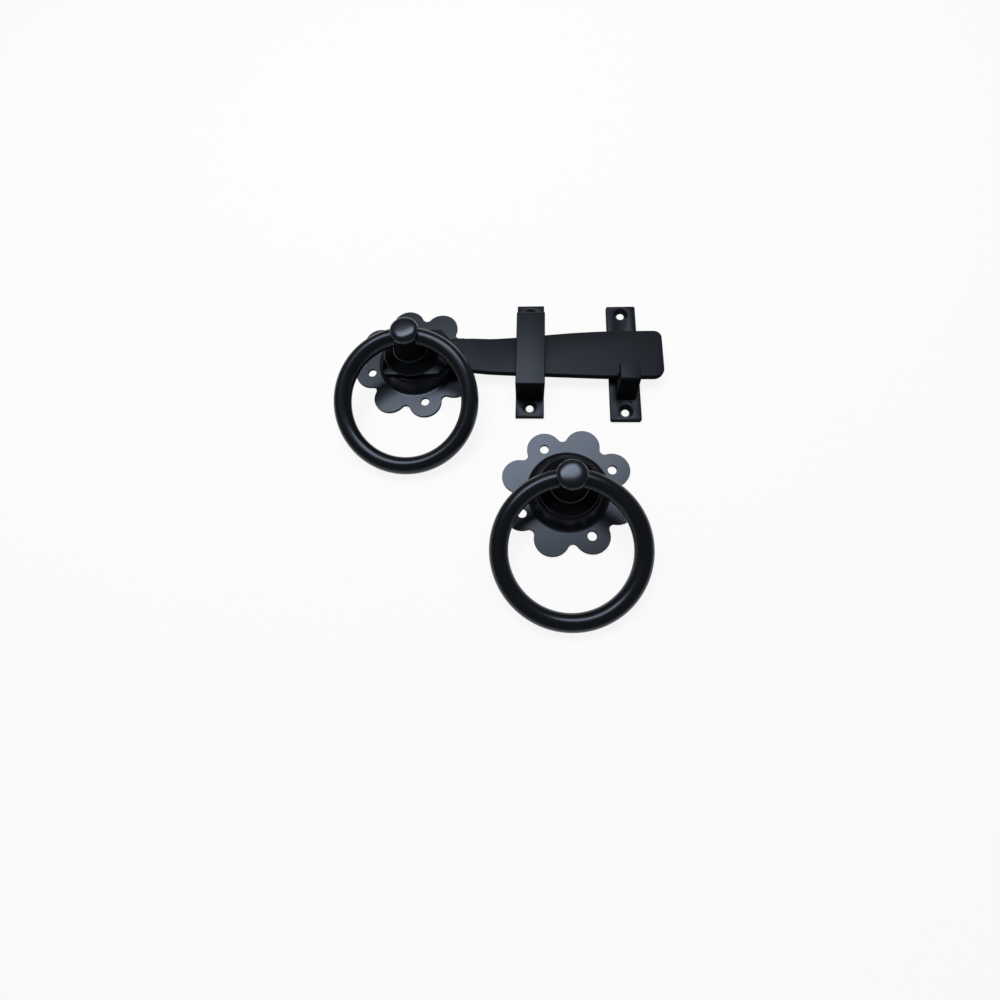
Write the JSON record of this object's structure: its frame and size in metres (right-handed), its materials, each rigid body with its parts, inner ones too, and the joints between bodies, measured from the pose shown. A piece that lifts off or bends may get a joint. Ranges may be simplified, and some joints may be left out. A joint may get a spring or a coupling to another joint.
{
  "type": "ring gate latch",
  "caption": "Black ring handle gate latch set: scalloped roses with hinged rings, a pivoting latch bar, a bridge guide and a hooked catch, laid out as a set.",
  "frame": {"origin": "on the pivot axis of the latch-side rose, at its back face, which is the plane of the gate", "axes": "+X along the latch bar to its tip, +Y up the gate, +Z out of the gate towards the hand"},
  "size_m": [0.2149, 0.2245, 0.0401],
  "materials": {
    "black_coat": "satin",
    "black_coat_smooth": "satin",
    "zinc_plate": "plated"
  },
  "bodies": {
    "plates": {"latch_rose": "black_coat", "outer_rose": "black_coat", "guide_bracket": "black_coat", "catch_plate": "black_coat", "catch_hook": "black_coat"},
    "latch": {"latch_boss": "black_coat_smooth", "bar_head": "black_coat", "latch_bar": "black_coat", "latch_washer": "zinc_plate", "latch_clip": "zinc_plate"},
    "latch_pull": {"latch_ring": "black_coat_smooth"},
    "outer": {"outer_boss": "black_coat_smooth", "outer_washer": "zinc_plate", "outer_clip": "zinc_plate"},
    "outer_pull": {"outer_ring": "black_coat_smooth"}
  },
  "joints": [
    {"name": "latch_turn", "type": "hinge", "parent": "plates", "child": "latch", "pos_m": [0, 0, 0], "axis": [0, 0, 1], "range_deg": [0, 5.1]},
    {"name": "latch_ring_swing", "type": "hinge", "parent": "latch", "child": "latch_pull", "pos_m": [0, 0, 0.0309], "axis": [-1, 0, 0], "range_deg": [0, 212]},
    {"name": "outer_turn", "type": "hinge", "parent": "plates", "child": "outer", "pos_m": [0.10405, -0.09395, 0], "axis": [0, 0, 1], "range_deg": [-15, 15]},
    {"name": "outer_ring_swing", "type": "hinge", "parent": "outer", "child": "outer_pull", "pos_m": [0.10405, -0.09395, 0.0274], "axis": [-1, 0, 0], "range_deg": [0, 195]}
  ]
}
